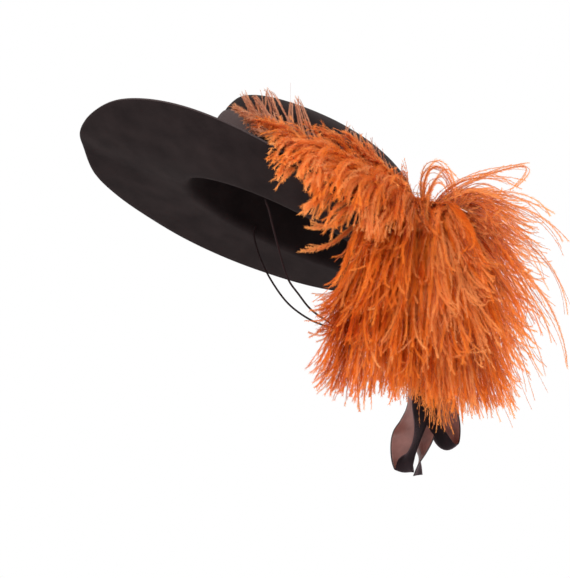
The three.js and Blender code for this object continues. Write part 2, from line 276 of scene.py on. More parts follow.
ELASTIC_DIAMETER = 2 * MM
ELASTIC_POINTS = 115
ELASTIC_ROUTE = vectors([
    (72.5, -10, 31), (74, -12.2, 23), (74.3, -9.4, 15.2), (74.3, -6, 1.1), (74, -1.2, -17.7),
    (73, 3.5, -35.4), (71, 10, -54.2), (67, 20, -68.2), (60, 31, -82), (47, 49, -95), (26, 65, -103),
    (0, 71, -106), (-26, 65, -105), (-47, 49, -101), (-61, 30, -93), (-69, 10, -78), (-73, -7, -55),
    (-74, -19, -31), (-74.1, -25.5, -6), (-75.6, -23.4, 2.3),
], MM)
elastic_line = curve_points(ELASTIC_ROUTE, ELASTIC_POINTS)
elastic_data = round_line("head_elastic_piece", elastic_line, ELASTIC_DIAMETER / 2, roundness=3)
elastic = put("head_elastic_piece", elastic_data, ["head_elastic"], "elastic", elastic_finish)
elastic_length = length_of(elastic_line)
print("elastic", round(elastic_length / MM), "mm long")

# %% [markdown]
# The felt was blocked in one piece, so the crown runs into the brim in a tight curve. Level sections give
# the crown in the hat's own upright frame, and the heights of its rim give the brim. TILT then turns the
# hat as it is worn: tipped up in front and a little higher at the wearer's left.
# %% The felt's shape
FRONT_UP = math.radians(25)
LEFT_UP = math.radians(12)
TILT = Matrix.Rotation(-FRONT_UP, 4, "X") @ Matrix.Rotation(-LEFT_UP, 4, "Y")
Section = namedtuple("Section", "up front back side")
CROWN = [
    Section(-1, 102, 104, 81), Section(20, 101.5, 108, 81.5), Section(40, 101, 112, 81),
    Section(60, 100, 116, 80), Section(78, 99, 114, 77), Section(93, 96, 102, 69), Section(104, 89, 84, 57),
    Section(112, 71, 61, 42), Section(117, 41, 33, 24), Section(118.5, 0, 0, 0),
]
FELT = 2.0
BRIM_HALF_LENGTH = 180
BRIM_HALF_WIDTH = 158
BRIM_CENTRE = -40
BRIM_BEND = 1.25
# How high the rim stands, every 15 degrees from the front by the wearer's left.
BRIM_RISE = [
    3, 12.5, 24.5, 31, 34, 33.5, 31, 28, 25, 21.5, 18, 14,
    9, 3, -3, -8, -12, -15, -17.5, -18.5, -17.5, -16, -12, -1,
]


def smooth(values, place, closed=False):
    """A smooth curve through evenly spaced values. Place counts them from 0."""
    last = len(values) - 1
    first = math.floor(place) if closed else min(math.floor(place), last - 1)
    share = place - first

    def value(i):
        if closed:
            return values[i % len(values)]
        if i < 0:
            return 2 * values[0] - values[1]
        if i > last:
            return 2 * values[last] - values[last - 1]
        return values[i]

    a, b, c, d = (value(first + i) for i in (-1, 0, 1, 2))
    return b + 0.5 * share * (c - a + share * (2 * a - 5 * b + 4 * c - d + share * (3 * (b - c) + d - a)))


def crown_face(around, along):
    """A point of the crown's outer face: around from the front by the left, along from opening to top."""
    angle = around * math.tau
    place = along * (len(CROWN) - 1)
    forward = math.cos(angle)
    length = smooth([s.front if forward > 0 else s.back for s in CROWN], place)
    side = smooth([s.side for s in CROWN], place)
    return Vector((side * math.sin(angle), -length * forward, smooth([s.up for s in CROWN], place)))


def along_at_height(height):
    above = next(i for i, s in enumerate(CROWN) if s.up > height)
    share = (height - CROWN[above - 1].up) / (CROWN[above].up - CROWN[above - 1].up)
    return (above - 1 + share) / (len(CROWN) - 1)


def beside_crown(around, along, stand):
    """A point that stands off the crown's outer face, or inside it where stand is negative."""
    step = 1e-3
    along = min(along, 1 - step)
    across = crown_face(around + step, along) - crown_face(around - step, along)
    ahead = crown_face(around, min(along + step, 1)) - crown_face(around, max(along - step, 0))
    return crown_face(around, along) + across.cross(ahead).normalized() * stand


def brim_face(around, along):
    """The brim's underside, from the crown to the rim."""
    angle = around * math.tau
    inner = crown_face(around, along_at_height(FELT / 2)).xy.to_3d()
    rim = Vector((BRIM_HALF_WIDTH * math.sin(angle), BRIM_CENTRE - BRIM_HALF_LENGTH * math.cos(angle), 0))
    point = inner.lerp(rim, along)
    point.z = smooth(BRIM_RISE, (around % 1) * len(BRIM_RISE), True) * along ** BRIM_BEND - FELT / 2
    return point


def worn(point):
    """A point of the upright hat, in millimetres, where it is as the hat is worn, in metres."""
    return TILT @ (point * MM)


# %% [markdown]
# One helper makes every sheet: a function says where each place of a flat grid lies, from 0 to 1 both ways.
# The places stay on the mesh as a UV map, so that a weave can follow the cloth. Solidify then gives the
# wall its thickness, with a finish of its own on the back and on the cut edge.
# %% Sheets from a grid
def mesh_of(bm, name, smooth=True):
    """Turns a bmesh into a mesh and frees it."""
    for face in bm.faces:
        face.smooth = smooth
    mesh = bpy.data.meshes.new(name)
    bm.to_mesh(mesh)
    bm.free()
    return mesh


def sheet_mesh(name, across, along, place):
    bm = bmesh.new()
    bm.loops.layers.uv.new("Places")
    bmesh.ops.create_grid(bm, x_segments=across, y_segments=along, size=0.5, calc_uvs=True)
    for vert in bm.verts:
        vert.co = place(vert.co.x + 0.5, vert.co.y + 0.5)
    bmesh.ops.remove_doubles(bm, verts=bm.verts, dist=0.01 * MM)
    return mesh_of(bm, name)


def thicken(piece, thickness, offset, back=0, rim=0):
    wall = piece.modifiers.new("wall", "SOLIDIFY")
    wall.thickness = thickness
    wall.offset = offset
    wall.use_even_offset = True
    wall.material_offset = back
    wall.material_offset_rim = rim


# %% [markdown]
# Felt has no weave. Close up it is a matt nap of short fibres: a soft mottle in the colour, a very fine
# rough surface, and a faint sheen where light grazes it. The cut edge of the brim is painted a paler brown
# than its faces.
# %% Felt finish
felt_finish = Finish(
    "brown_felt", Roughness=0.95, Specular_IOR_Level=0.06, Sheen_Weight=0.04, Sheen_Roughness=0.5,
    Sheen_Tint=(0.55, 0.42, 0.4, 1),
)
felt_mottle = felt_finish.noise(38.0, 6.0)
felt_nap = felt_finish.noise(1400.0, 4.0, roughness=0.7)
felt_tone = (felt_mottle * 0.55 + felt_nap * 0.45).clamped()
felt_finish.paint(felt_tone, [(0.3, (0.0062, 0.0038, 0.0042)), (0.7, (0.0225, 0.015, 0.015))])
felt_finish.raise_surface(felt_nap + felt_mottle * 0.6, 0.0004, 0.7)

edge_finish = Finish("felt_cut_edge", Roughness=0.95, Specular_IOR_Level=0.2)
edge_fibre = edge_finish.noise(900.0, 4.0)
edge_finish.paint(edge_fibre, [(0.3, (0.03, 0.02, 0.02)), (0.7, (0.058, 0.041, 0.04))])
edge_finish.raise_surface(edge_fibre, 0.0003)

# %% [markdown]
# The felt's inner face is laid out in three bands of rows: the underside of the brim from the rim inwards,
# the curve that turns it up at the head opening, and the inside of the crown. The wall grows outwards from
# there.
# %% Felt body
FELT_ROUND = 208
BRIM_ROWS = 34
TURN_ROWS = 7
CROWN_ROWS = 52
TURN_REACH = 0.085
TURN_HEIGHT = 6.5


def felt_inside(around, along):
    row = along * (BRIM_ROWS + TURN_ROWS + CROWN_ROWS)
    if row <= BRIM_ROWS:
        return worn(brim_face(around, 1 - (1 - TURN_REACH) * row / BRIM_ROWS))
    low = along_at_height(TURN_HEIGHT)
    if row <= BRIM_ROWS + TURN_ROWS:
        share = (row - BRIM_ROWS) / TURN_ROWS
        start = brim_face(around, TURN_REACH)
        corner = brim_face(around, 0) + (beside_crown(around, 0, -FELT) - crown_face(around, 0))
        end = beside_crown(around, low, -FELT)
        return worn(start.lerp(corner, share).lerp(corner.lerp(end, share), share))
    share = (row - BRIM_ROWS - TURN_ROWS) / CROWN_ROWS
    return worn(beside_crown(around, low + (1 - low) * share, -FELT))


felt_data = sheet_mesh("felt_body", FELT_ROUND, BRIM_ROWS + TURN_ROWS + CROWN_ROWS, felt_inside)
felt = put("felt_body", felt_data, ["crown", "brim"], "felt", felt_finish, edge_finish)
thicken(felt, FELT * MM, 1, rim=1)
print("felt", len(felt_data.polygons), "faces before its wall")

# %% [markdown]
# The hatband is a wide ribbed ribbon, folded lengthwise into soft level pleats and drawn round the crown.
# The pleats wander a little, because they were laid by hand. Its ribs run up and down, and follow the UV
# map.
# %% Hatband
band_finish = Finish(
    "hatband_ribbon", Roughness=0.75, Specular_IOR_Level=0.15, Sheen_Weight=0.05, Sheen_Roughness=0.4,
    Sheen_Tint=(0.7, 0.5, 0.5, 1),
)
band_around = band_finish.map_places("Places")[0]
band_ribs = (band_around * (math.tau * 520)).wave() * 0.5 + 0.5
band_wear = band_finish.noise(24.0, 4.0)
band_tone = (band_wear * 0.7 + band_ribs * 0.3).clamped()
band_finish.paint(band_tone, [(0.25, (0.04, 0.025, 0.024)), (0.75, (0.072, 0.049, 0.047))])
band_finish.raise_surface(band_ribs, 0.0004, 0.6)

BAND_BOTTOM = 3
BAND_TOP = 80
BAND_CLOTH = 1.2
BAND_WALL = 0.72
BAND_GAP = 0.3
BAND_ROUND = 192
BAND_ROWS = 36
FOLD_COUNT = 3
FOLD_DEPTH = 1.2
FOLD_SHARPNESS = 0.6
# How far the pleats wander up and down, how many times round the hat, and from where.
DRIFTS = ((0.03, 2, 0), (0.018, 5, 1))


def band_face(around, along):
    height = BAND_BOTTOM + (BAND_TOP - BAND_BOTTOM) * along
    drift = sum(size * math.sin(math.tau * times * around + start) for size, times, start in DRIFTS)
    fold = abs(math.sin(math.pi * FOLD_COUNT * (along + drift * math.sin(math.pi * along))))
    depth = FOLD_DEPTH * fold ** FOLD_SHARPNESS
    return worn(beside_crown(around, along_at_height(height), BAND_GAP + BAND_CLOTH + depth))


band_data = sheet_mesh("folded_hatband", BAND_ROUND, BAND_ROWS, band_face)
band = put("folded_hatband", band_data, ["hatband"], "band_ribbon", band_finish)
thicken(band, BAND_WALL * MM, -1)

# %% [markdown]
# The ribbons have velvet on one face and satin on the other. Velvet drinks the light and only its sheen
# shows, while satin has long soft highlights across its width. Both finishes go on one strip: Solidify
# gives its back the satin.
# %% Ribbon finishes
velvet_finish = Finish(
    "black_velvet", Roughness=0.9, Specular_IOR_Level=0.15, Sheen_Weight=0.55, Sheen_Roughness=0.3,
    Sheen_Tint=(0.45, 0.3, 0.34, 1),
)
velvet_pile = velvet_finish.noise(1600.0, 3.0)
velvet_crush = velvet_finish.noise(60.0, 3.0)
velvet_finish.paint(velvet_crush, [(0.3, (0.006, 0.0026, 0.0035)), (0.7, (0.016, 0.008, 0.01))])
velvet_finish.raise_surface(velvet_pile + velvet_crush, 0.0004, 0.6)

satin_finish = Finish("mauve_satin", Roughness=0.34, Specular_IOR_Level=0.6, Sheen_Weight=0.1)
satin_across = satin_finish.map_places("Places")[0]
satin_threads = (satin_across * (math.tau * 60)).wave() * 0.5 + 0.5
# The dark bands along both edges of the satin are its selvage and also painted shadow along its edge.
selvage_and_edge_shade = (((satin_across - 0.5).size() * 2 - 0.88) * 14).clamped()
satin_tone = ((satin_finish.noise(70.0, 3.0) * 0.8 + satin_threads * 0.2) * (1 - selvage_and_edge_shade)).clamped()
satin_finish.paint(
    satin_tone, [(0.0, (0.01, 0.005, 0.006)), (0.3, (0.195, 0.075, 0.06)), (0.7, (0.37, 0.16, 0.135))]
)
satin_finish.raise_surface(satin_threads, 0.0002, 0.4)

# %% [markdown]
# Each ribbon is a strip swept along a line of points. A turn says how its width is twisted about the run,
# and the strip is gathered to half its width inside the knot. It bows outwards across its width, most where
# a loop turns up at the bottom, which rounds the loop and draws its edges together.
# %% Ribbons
RIBBON_WIDTH = 23
RIBBON_CLOTH = 0.9
GATHER_TOP = 3
GATHER_LENGTH = 40
Hang = namedtuple("Hang", "left back up turn")
RIBBONS = {
    "ribbon_loop_left": [
        (-2, 143, 3, 0), (10, 147, -40, 0), (22, 148, -90, 0), (28, 145, -140, 6), (30, 143, -172, 22),
        (30, 139.5, -200, 66), (27.5, 134, -221, 78), (22, 129, -234.5, 60), (14.5, 125.3, -239.5, 20),
        (8.5, 123, -232, 4), (5, 124, -212, 6), (0, 131, -196, 36), (-6, 137, -178, 52),
        (-13, 140, -140, 36), (-18, 147, -90, 8), (-18, 147, -40, 0), (-15, 143, 3, 0),
    ],
    "ribbon_loop_right": [
        (-5.2, 143, 3, 0), (3, 148, -40, 0), (14, 151, -90, 0), (20, 150, -140, 20), (23, 148, -172, 45),
        (25, 152, -192, 52), (24, 160, -208, 42), (18, 166.5, -217, 22), (10, 170, -215, 8),
        (4, 171, -203, 14), (0, 169, -188, 22), (-3, 163, -168, 20), (-7, 155, -138, 8), (-11, 150, -90, 0),
        (-12, 148, -40, 0), (-11.8, 143, 3, 0),
    ],
    "ribbon_tail": [
        (-8.5, 143, 3, 0), (-4, 148, -40, 0), (4, 150, -90, 0), (8, 148, -140, 4), (13, 146, -178, 8),
        (18, 145.5, -204, 28), (18, 141.6, -226, 72), (17.5, 140, -237, 100), (17, 138.5, -248, 116),
    ],
}
BOW = 0.9
LOOP_BOW = 5.5
LOOP_BEND = 30
RIBBON_ACROSS = 8
STEPS_PER_ROW = 9
LOOK_AHEAD = 0.002
MEASURE_POINTS = 200


def ribbon_place(rows, points, side, run):
    """A point of a ribbon: side is -1 to 1 across it, run 0 to 1 along it."""
    at = curve_point(points, run)
    after = curve_point(points, min(run + LOOK_AHEAD, 1))
    before = curve_point(points, max(run - LOOK_AHEAD, 0))
    ahead = (after - before).normalized()
    turn = math.radians(smooth([row.turn for row in rows], run * (len(rows) - 1)))
    wide = Vector((math.sin(turn), math.cos(turn), 0))
    wide = (wide - ahead * wide.dot(ahead)).normalized()
    gathered = min(1, 0.5 + (GATHER_TOP - at.z / MM) / GATHER_LENGTH / 2)
    lowest = min(point.z for point in points) / MM
    bend = max(0, 1 - (at.z / MM - lowest) / LOOP_BEND) if rows[-1].up > 0 else 0
    bow = BOW + (LOOP_BOW - BOW) * bend
    half = RIBBON_WIDTH / 2 * gathered - bow * bow / RIBBON_WIDTH * 4 / 3
    return at + (wide * (side * half) + ahead.cross(wide) * (bow * (1 - side * side))) * MM


for ribbon_name, rows in RIBBONS.items():
    ribbon_rows = [Hang(*row) for row in rows]
    ribbon_points = vectors([row[:3] for row in ribbon_rows], MM)
    ribbon_length = length_of(curve_points(ribbon_points, MEASURE_POINTS))
    ribbon_data = sheet_mesh(
        ribbon_name + "_cloth",
        RIBBON_ACROSS,
        len(ribbon_rows) * STEPS_PER_ROW,
        lambda side, run: ribbon_place(ribbon_rows, ribbon_points, 1 - 2 * side, run),
    )
    front, back = (velvet_finish, satin_finish) if "loop" in ribbon_name else (satin_finish, velvet_finish)
    ribbon = put(ribbon_name + "_cloth", ribbon_data, [ribbon_name], "velvet", front, back)
    thicken(ribbon, RIBBON_CLOTH * MM, 0, back=1)
    print(ribbon_name, round(ribbon_length / MM), "mm long")

# %% [markdown]
# The knot is velvet wound tightly round the quills. A round body with slanting ridges reads as its turns.
# %% Knot
KNOT_CENTRE = Vector((6, 126.8, 66))
KNOT_HALF = Vector((11, 8, 9))
KNOT_TURNS = 3
KNOT_RIDGE = 0.07
bm = bmesh.new()
bmesh.ops.create_uvsphere(bm, u_segments=64, v_segments=32, radius=1)
for vert in bm.verts:
    angle = math.atan2(vert.co.z, vert.co.y)
    ridge = 1 - KNOT_RIDGE * abs(math.sin(KNOT_TURNS * math.pi * (vert.co.x * 0.5 + angle / math.tau)))
    vert.co = worn(KNOT_CENTRE + Vector(c * h * ridge for c, h in zip(vert.co, KNOT_HALF)))
put("velvet_knot", mesh_of(bm, "velvet_knot"), ["ribbon_knot"], "velvet", velvet_finish)

# %% [markdown]
# Dyed ostrich is a soft, slightly see-through fibre: light that comes through a barb is a warmer orange
# than light that comes off it. Mixing a translucent shader with the main one gives that. Deep in the plume
# the barbs turn rust red, partly from light passing from barb to barb and partly from painted shade: low
# shades darken the barbs deep in the plume and give them less of the glow. The UV map holds the place along
# each barb and the barb's own shade. Soft lighter and deeper patches of tone lie across many barbs.
# %% Plume finishes
PATCH_SCALE = 26.0
PATCH_DEPTH = 1.1
GLOW_LEAST = 0.3
GLOW_OF_TONE = 0.25


def plume_finish(name, dark, mid, light, through, tip_share):
    finish = Finish(
        name, Roughness=0.7, Specular_IOR_Level=0.05, Sheen_Weight=0.03, Sheen_Roughness=0.5,
        Sheen_Tint=(1.0, 0.62, 0.42, 1),
    )
    along, shade = finish.map_places("Barb")
    patches = (finish.noise(PATCH_SCALE, 3.0) - 0.5) * PATCH_DEPTH
    tone = (shade * (1 - tip_share) + along * tip_share + patches).clamped()
    finish.paint(tone, [(0.0, dark), (0.45, mid), (1.0, light)])
    glow = finish.node("ShaderNodeBsdfTranslucent", {}, {"Color": (*through, 1)})
    blend = finish.tree.nodes.new("ShaderNodeMixShader")
    finish.tree.links.new((tone * GLOW_OF_TONE + GLOW_LEAST).socket, blend.inputs[0])
    finish.tree.links.new(finish.shader.outputs[0], blend.inputs[1])
    finish.tree.links.new(glow.socket, blend.inputs[2])
    output = next(n for n in finish.tree.nodes if n.type == "OUTPUT_MATERIAL")
    finish.tree.links.new(blend.outputs[0], output.inputs["Surface"])
    return finish


barb_finish = plume_finish(
    "ostrich_barbs", (0.44, 0.03, 0.001), (0.84, 0.205, 0.02), (0.95, 0.42, 0.15),
    through=(0.95, 0.36, 0.09), tip_share=0.24,
)
# The thin barbs that stand over the crown are painted paler towards their tips.
pale_barb_finish = plume_finish(
    "pale_barb_ends", (0.66, 0.16, 0.025), (0.66, 0.26, 0.12), (0.6, 0.38, 0.3),
    through=(0.85, 0.4, 0.2), tip_share=0.75,
)
shaft_finish = Finish("barb_shafts", Roughness=0.5, Specular_IOR_Level=0.4)
shaft_finish.paint(shaft_finish.noise(60.0), [(0.3, (0.2, 0.05, 0.03)), (0.7, (0.42, 0.13, 0.075))])
# The back plumes' quills are pale, and the pale colour also paints the glints seen on them near the knot.
quill_and_glint_finish = Finish("pale_quills_and_glints", Roughness=0.3, Specular_IOR_Level=0.6, Coat_Weight=0.3)
quill_and_glint_finish.paint(quill_and_glint_finish.noise(90.0), [(0.3, (0.62, 0.36, 0.24)), (0.7, (0.82, 0.66, 0.55))])

# %% [markdown]
# A plume is a quill with hundreds of barbs. Each arches away from the quill and falls, fringed on both
# sides with long barbules that lean towards its tip, so it looks like a soft flat strap. These are far too
# many to place by hand or to make as objects, so they are built with arrays: fans give the barbs' starts
# and ends, and a seeded generator varies them. Barbs of one lock stay together and leave dark gaps between
# the locks.
# %% Barbs
Fan = namedtuple("Fan", "start stop tips lift hang sweep locks barbs spread shade")
Look = namedtuple("Look", "step reach lean curl twist finish")
FULL = Look(1.25, 7.0, 0.48, 3.5, 0.45, barb_finish)
FINE = Look(1.25, 6.0, 0.46, 5.5, 0.75, barb_finish)
SPIKY = Look(1.0, 4.5, 0.3, 0.8, 1.0, pale_barb_finish)
PALE = Look(1.25, 6.0, 0.42, 1.5, 0.4, pale_barb_finish)
LOOSE = Look(1.25, 4.5, 0.36, 4.0, 1.0, barb_finish)
AIRY = Look(1.25, 5.0, 0.48, 1.5, 1.0, barb_finish)
BARE = Look(1.5, 0.4, 0.3, 0.0, 0.0, pale_barb_finish)
# How far a lock and its barbs stray from the fan's even spacing. The sways are in units of its spread.
LOCK_SHIFT = 0.4
LOCK_ROOT_SHIFT = 0.25
LOCK_TIP_SWAY = 0.5
LOCK_SWAY = 1.1
LOCK_RISE = (0.6, 1.4)
LOCK_SHADE = 0.34
BARB_ROOT_SHIFT = 0.015
BARB_SWAY = 0.45
BARB_SHADE = 0.16
TIP_SWAY = 0.7
# Where a barb is at the top of its arch, as a share of the way from its root to its tip.
ARCH_PLACE = 0.35


def fan_barbs(fan, quill, rng):
    """The curves of a fan's barbs, in millimetres, with each barb's shade."""
    curves, shades = [], []
    tip_line = vectors(fan.tips)
    for index in range(fan.locks):
        share = (index + 0.5 + rng.uniform(-LOCK_SHIFT, LOCK_SHIFT)) / fan.locks
        lock_tip = np.array(curve_point(tip_line, share)) + rng.normal(0, fan.spread * LOCK_TIP_SWAY, 3)
        root_share = np.clip(share + rng.uniform(-LOCK_ROOT_SHIFT, LOCK_ROOT_SHIFT), 0, 1)
        lock_place = fan.start + (fan.stop - fan.start) * root_share
        lock_sway = rng.normal(0, fan.spread * LOCK_SWAY, (2, 3))
        lock_rise = rng.uniform(*LOCK_RISE, 2)
        # The fan's shade is painted shade; each lock strays from it at random.
        lock_shade = fan.shade + rng.uniform(-LOCK_SHADE, LOCK_SHADE)
        for _ in range(fan.barbs):
            place = float(np.clip(lock_place + rng.normal(0, BARB_ROOT_SHIFT), 0, 1))
            root = np.array(curve_point(quill, place))
            tip = lock_tip + rng.normal(0, fan.spread * TIP_SWAY, 3)
            over = root + (tip - root) * ARCH_PLACE
            over[2] = root[2] + fan.lift * lock_rise[0]
            fall = tip + (root - tip) * fan.sweep
            fall[2] = tip[2] + fan.hang * lock_rise[1]
            over += lock_sway[0] + rng.normal(0, fan.spread * BARB_SWAY, 3)
            fall += lock_sway[1] + rng.normal(0, fan.spread * BARB_SWAY, 3)
            curves.append((root, over, fall, tip))
            shades.append(lock_shade + rng.normal(0, BARB_SHADE))
    return np.array(curves), np.clip(shades, 0, 1)


# %% [markdown]
# No barb swings further out on the wearer's left than PLUME_EDGE, and none goes through the crown: where
# its line would, the line is moved out to stand clear of the wall and of the hatband on it.
# %% Lines of barbs
PLUME_EDGE = 159
CROWN_CLEAR = 4
TIPS_CLEAR = 1.5
LEAST_REACH = 0.05
ROUGH_POINTS = 12
LEAST_STEPS = 8
# Along a barb: how long its slow wave is, how large as a share of the curl, and where the curl starts.
WAVE_LENGTHS = (40, 90)
WAVE_OF_CURL = 0.3
CURL_START = 0.72
UPRIGHT = np.array(TILT.to_3x3())


def bezier(ends, place):
    """Points on cubic curves: ends is (n, 4, 3) and place is (n, m). Gives (n, m, 3)."""
    t = place[..., None]
    a, b, c, d = (ends[:, None, i] for i in range(4))
    return (1 - t) ** 3 * a + 3 * (1 - t) ** 2 * t * b + 3 * (1 - t) * t ** 2 * c + t ** 3 * d


def unit(arrows):
    return arrows / np.maximum(np.linalg.norm(arrows, axis=-1, keepdims=True), 1e-9)


def clear_of_crown(points, stand):
    """Moves the points that lie in the crown, or nearer to it than stand, level and straight out."""
    upright = points @ UPRIGHT
    up = upright[..., 2]
    heights = [s.up for s in CROWN]
    side, front, back = (
        np.interp(up, heights, [getattr(s, part) for s in CROWN]) for part in ("side", "front", "back")
    )
    length = np.where(upright[..., 1] < 0, front, back)
    reach = np.hypot(upright[..., 0] / (side + stand), upright[..., 1] / (length + stand))
    near = (reach < 1) & (up > 0) & (up < CROWN[-1].up)
    grow = np.where(near, 1 / np.maximum(reach, LEAST_REACH), 1)
    upright[..., :2] *= grow[..., None]
    return upright @ UPRIGHT.T


def barb_lines(curves, look, rng):
    """Points along every barb, with a slow wave and a curl at the tip, and their places from 0 to 1."""
    count = len(curves)
    rough = bezier(curves, np.tile(np.linspace(0, 1, ROUGH_POINTS), (count, 1)))
    lengths = np.linalg.norm(np.diff(rough, axis=1), axis=2).sum(1)
    steps = max(int(np.median(lengths) / look.step), LEAST_STEPS)
    place = np.tile(np.linspace(0, 1, steps + 1), (count, 1))
    travel = place[..., None] * lengths[:, None, None]
    swing = unit(rng.normal(size=(count, 1, 3)))
    turns = travel / rng.uniform(*WAVE_LENGTHS, (count, 1, 1)) * math.tau
    wave = np.sin(turns + rng.uniform(0, math.tau, (count, 1, 1)))
    curled = (np.clip(place[..., None] - CURL_START, 0, 1) / (1 - CURL_START)) ** 2
    curl = rng.normal(0, look.curl, (count, 1, 3)) * curled
    line = bezier(curves, place) + swing * wave * look.curl * WAVE_OF_CURL * np.sqrt(place[..., None]) + curl
    line = clear_of_crown(line, CROWN_CLEAR)
    line[..., 0] = np.minimum(line[..., 0], PLUME_EDGE)
    return line, place


# %% [markdown]
# The vane of a barb lies in the plane of its barbules. It mostly faces away from the middle of the plume,
# where its neighbours pressed it flat, and twists a little towards its tip. The barbules are shorter at the
# barb's root and tip.
# %% Barbules
FULL_FROM = 0.14
ROOT_LEAST = 0.25
TIP_LEAST = 0.6
TIP_TAPER = 0.9
FAN_OUT = 0.35
LEAN_RANGE = (0.7, 1.35)
REACH_RANGE = (0.7, 1.15)
DROOP = 0.06
FACE_SWAY = 0.5
MOST_TWIST = 1.1
TIP_LIGHTER = 0.15
SHAFT_STEPS = 14
SHAFT_HALF_WIDTHS = (0.34, 0.12)


def barb_arrays(curves, shades, look, heart, rng):
    """Corners, triangles and UVs of the barbules, then of the shafts, of barbs of about one length."""
    middle, place = barb_lines(curves, look, rng)
    count, steps = len(curves), middle.shape[1] - 1
    ahead = unit(np.gradient(middle, axis=1))
    faces_out = unit(unit(middle - np.array(heart)) + rng.normal(0, FACE_SWAY * look.twist, (count, 1, 3)))
    side = unit(np.cross(ahead, faces_out))
    twist = (rng.uniform(-MOST_TWIST, MOST_TWIST, (count, 1)) * look.twist * place)[..., None]
    side = side * np.cos(twist) + np.cross(ahead, side) * np.sin(twist)
    facing = np.cross(ahead, side)
    profile = np.clip(place[:, :-1] / FULL_FROM, ROOT_LEAST, 1)
    profile *= np.clip(TIP_LEAST + TIP_TAPER * (1 - place[:, :-1]), TIP_LEAST, 1)
    start = (np.arange(count)[:, None] * (steps + 1) + np.arange(steps)[None]).ravel()
    corners, triangles, uvs = [middle.reshape(-1, 3)], [], []
    used = count * (steps + 1)
    for turn in (0.0, math.pi):
        angle = turn + rng.normal(0, FAN_OUT, (count, steps))[..., None]
        lean = (look.lean * rng.uniform(*LEAN_RANGE, (count, steps)))[..., None]
        reach = (look.reach * profile * rng.uniform(*REACH_RANGE, (count, steps)))[..., None]
        out = side[:, :-1] * np.cos(angle) + facing[:, :-1] * np.sin(angle)
        ends = middle[:, :-1] + (out * np.sin(lean) + ahead[:, :-1] * np.cos(lean)) * reach
        ends[..., 2:] -= DROOP * reach
        corners.append(clear_of_crown(ends, TIPS_CLEAR).reshape(-1, 3))
        tips = used + np.arange(count * steps)
        used += count * steps
        pair = (start, start + 1) if turn == 0 else (start + 1, start)
        triangles.append(np.stack([*pair, tips], 1))
        uv = np.stack([np.stack([place[:, :-1].ravel(), np.repeat(shades, steps)], 1)] * 3, 1)
        uv[:, 2, 1] = np.clip(uv[:, 2, 1] + TIP_LIGHTER, 0, 1)
        uvs.append(uv)
    rows = np.linspace(0, steps, SHAFT_STEPS + 1).astype(int)
    across = facing[:, rows] * np.linspace(*SHAFT_HALF_WIDTHS, SHAFT_STEPS + 1)[None, :, None]
    corners += [(middle[:, rows] + across).reshape(-1, 3), (middle[:, rows] - across).reshape(-1, 3)]
    low = (np.arange(count)[:, None] * (SHAFT_STEPS + 1) + np.arange(SHAFT_STEPS)[None]).ravel() + used
    high = low + count * (SHAFT_STEPS + 1)
    shafts = np.concatenate([np.stack([low, low + 1, high + 1], 1), np.stack([low, high + 1, high], 1)])
    return np.concatenate(corners), np.concatenate(triangles), np.concatenate(uvs), shafts


# %% [markdown]
# The arrays of all the fans of a piece go into one mesh. Its first material is the barbules' and its second
# the shafts'.
# %% Barb pieces
def barb_mesh(name, parts):
    corners, triangles, uvs, is_shaft = [], [], [], []
    used = 0
    for points, barbules, barbule_uvs, shafts in parts:
        corners.append(points)
        triangles += [barbules + used, shafts + used]
        uvs += [barbule_uvs, np.zeros((len(shafts), 3, 2))]
        is_shaft += [np.zeros(len(barbules), np.int32), np.ones(len(shafts), np.int32)]
        used += len(points)
    faces = np.concatenate(triangles)
    mesh = bpy.data.meshes.new(name)
    mesh.vertices.add(used)
    mesh.vertices.foreach_set("co", (np.concatenate(corners) * MM).astype(np.float32).ravel())
    mesh.loops.add(faces.size)
    mesh.loops.foreach_set("vertex_index", faces.astype(np.int32).ravel())
    mesh.polygons.add(len(faces))
    mesh.polygons.foreach_set("loop_start", np.arange(0, faces.size, 3, dtype=np.int32))
    mesh.polygons.foreach_set("material_index", np.concatenate(is_shaft))
    mesh.polygons.foreach_set("use_smooth", np.ones(len(faces), bool))
    mesh.uv_layers.new(name="Barb")
    mesh.uv_layers["Barb"].data.foreach_set("uv", np.concatenate(uvs).astype(np.float32).ravel())
    mesh.update(calc_edges=True)
    print(name, len(faces), "triangles")
    return mesh


# %% [markdown]
# The quills run from their tips to the knot. The side plume's lies along the hatband, so its points are
# angles from the front, heights, and how far they stand off the crown.
# %% Quills
Spot = namedtuple("Spot", "angle height stand")
SIDE_QUILL = [
    Spot(38, 74, 8), Spot(62, 66, 6), Spot(88, 56, 5), Spot(112, 50, 5), Spot(136, 55, 5), Spot(156, 62, 6),
    Spot(176, 66, 8),
]
side_line = [worn(beside_crown(s.angle / 360, along_at_height(s.height), s.stand)) / MM for s in SIDE_QUILL]
